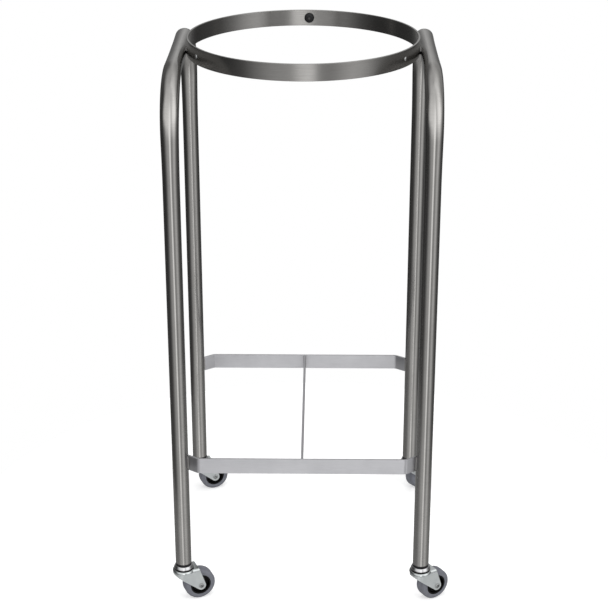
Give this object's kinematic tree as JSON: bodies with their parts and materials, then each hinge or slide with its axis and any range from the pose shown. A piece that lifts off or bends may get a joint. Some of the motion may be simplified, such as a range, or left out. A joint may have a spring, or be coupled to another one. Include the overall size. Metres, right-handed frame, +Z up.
{
  "type": "basin stand",
  "caption": "Rolling basin stand: bent tube side frames carry an open ring that holds a wash basin by its rim, tied low down by a flat bar brace and standing on swivel casters.",
  "frame": {"origin": "on the floor, under the middle of the stand's footprint with the casters turned as stored; the ring's axis is 15 mm to the left of it and 12 mm in front of it", "axes": "+Z up, -Y towards the front, +X to the right as seen from the front"},
  "size_m": [0.4453, 0.4217, 0.885],
  "materials": {
    "tube_steel": "stainless tube, polished lengthways",
    "ring_steel": "stainless flat bar, brushed round the ring",
    "bar_steel": "stainless flat bar, satin",
    "fork_zinc": "pressed steel, bright zinc plate",
    "race_chrome": "bright plated",
    "zinc": "bright zinc plate",
    "bumper_rubber": "black moulded rubber",
    "tyre_rubber": "grey moulded rubber that leaves no marks",
    "hub_plastic": "black moulded plastic"
  },
  "bodies": {
    "stand": {"left_side_frame": "tube_steel", "right_side_frame": "tube_steel", "basin_ring": "ring_steel", "rear_bumper": "bumper_rubber", "front_left_bumper": "bumper_rubber", "front_right_bumper": "bumper_rubber", "rear_bumper_rivet": "zinc", "front_left_bumper_rivet": "zinc", "front_right_bumper_rivet": "zinc", "front_crossbar": "bar_steel", "rear_crossbar": "bar_steel", "centre_bar": "bar_steel", "front_left_stem_sleeve": "bumper_rubber", "front_left_stem": "zinc", "front_left_stem_nut": "zinc", "front_left_upper_race": "race_chrome", "front_right_stem_sleeve": "bumper_rubber", "front_right_stem": "zinc", "front_right_stem_nut": "zinc", "front_right_upper_race": "race_chrome", "rear_left_stem_sleeve": "bumper_rubber", "rear_left_stem": "zinc", "rear_left_stem_nut": "zinc", "rear_left_upper_race": "race_chrome", "rear_right_stem_sleeve": "bumper_rubber", "rear_right_stem": "zinc", "rear_right_stem_nut": "zinc", "rear_right_upper_race": "race_chrome"},
    "front_left_caster": {"front_left_fork": "fork_zinc", "front_left_ball_ring": "zinc", "front_left_axle": "zinc", "front_left_axle_bush": "zinc"},
    "front_left_wheel": {"front_left_hub": "hub_plastic", "front_left_tyre": "tyre_rubber"},
    "front_right_caster": {"front_right_fork": "fork_zinc", "front_right_ball_ring": "zinc", "front_right_axle": "zinc", "front_right_axle_bush": "zinc"},
    "front_right_wheel": {"front_right_hub": "hub_plastic", "front_right_tyre": "tyre_rubber"},
    "rear_left_caster": {"rear_left_fork": "fork_zinc", "rear_left_ball_ring": "zinc", "rear_left_axle": "zinc", "rear_left_axle_bush": "zinc"},
    "rear_left_wheel": {"rear_left_hub": "hub_plastic", "rear_left_tyre": "tyre_rubber"},
    "rear_right_caster": {"rear_right_fork": "fork_zinc", "rear_right_ball_ring": "zinc", "rear_right_axle": "zinc", "rear_right_axle_bush": "zinc"},
    "rear_right_wheel": {"rear_right_hub": "hub_plastic", "rear_right_tyre": "tyre_rubber"}
  },
  "joints": [
    {"name": "front_left_swivel", "type": "hinge", "parent": "stand", "child": "front_left_caster", "pos_m": [-0.2055, -0.194, 0.0577], "axis": [0, 0, 1], "continuous": true},
    {"name": "front_left_roll", "type": "hinge", "parent": "front_left_caster", "child": "front_left_wheel", "pos_m": [-0.18312, -0.18404, 0.0254], "axis": [-0.4067, 0.9135, 0], "continuous": true},
    {"name": "front_right_swivel", "type": "hinge", "parent": "stand", "child": "front_right_caster", "pos_m": [0.1755, -0.194, 0.0577], "axis": [0, 0, 1], "continuous": true},
    {"name": "front_right_roll", "type": "hinge", "parent": "front_right_caster", "child": "front_right_wheel", "pos_m": [0.19628, -0.18102, 0.0254], "axis": [-0.5299, 0.848, 0], "continuous": true},
    {"name": "rear_left_swivel", "type": "hinge", "parent": "stand", "child": "rear_left_caster", "pos_m": [-0.2055, 0.17, 0.0577], "axis": [0, 0, 1], "continuous": true},
    {"name": "rear_left_roll", "type": "hinge", "parent": "rear_left_caster", "child": "rear_left_wheel", "pos_m": [-0.18278, 0.17918, 0.0254], "axis": [-0.3746, 0.9272, 0], "continuous": true},
    {"name": "rear_right_swivel", "type": "hinge", "parent": "stand", "child": "rear_right_caster", "pos_m": [0.1755, 0.17, 0.0577], "axis": [0, 0, 1], "continuous": true},
    {"name": "rear_right_roll", "type": "hinge", "parent": "rear_right_caster", "child": "rear_right_wheel", "pos_m": [0.19371, 0.18639, 0.0254], "axis": [-0.6691, 0.7431, 0], "continuous": true}
  ]
}
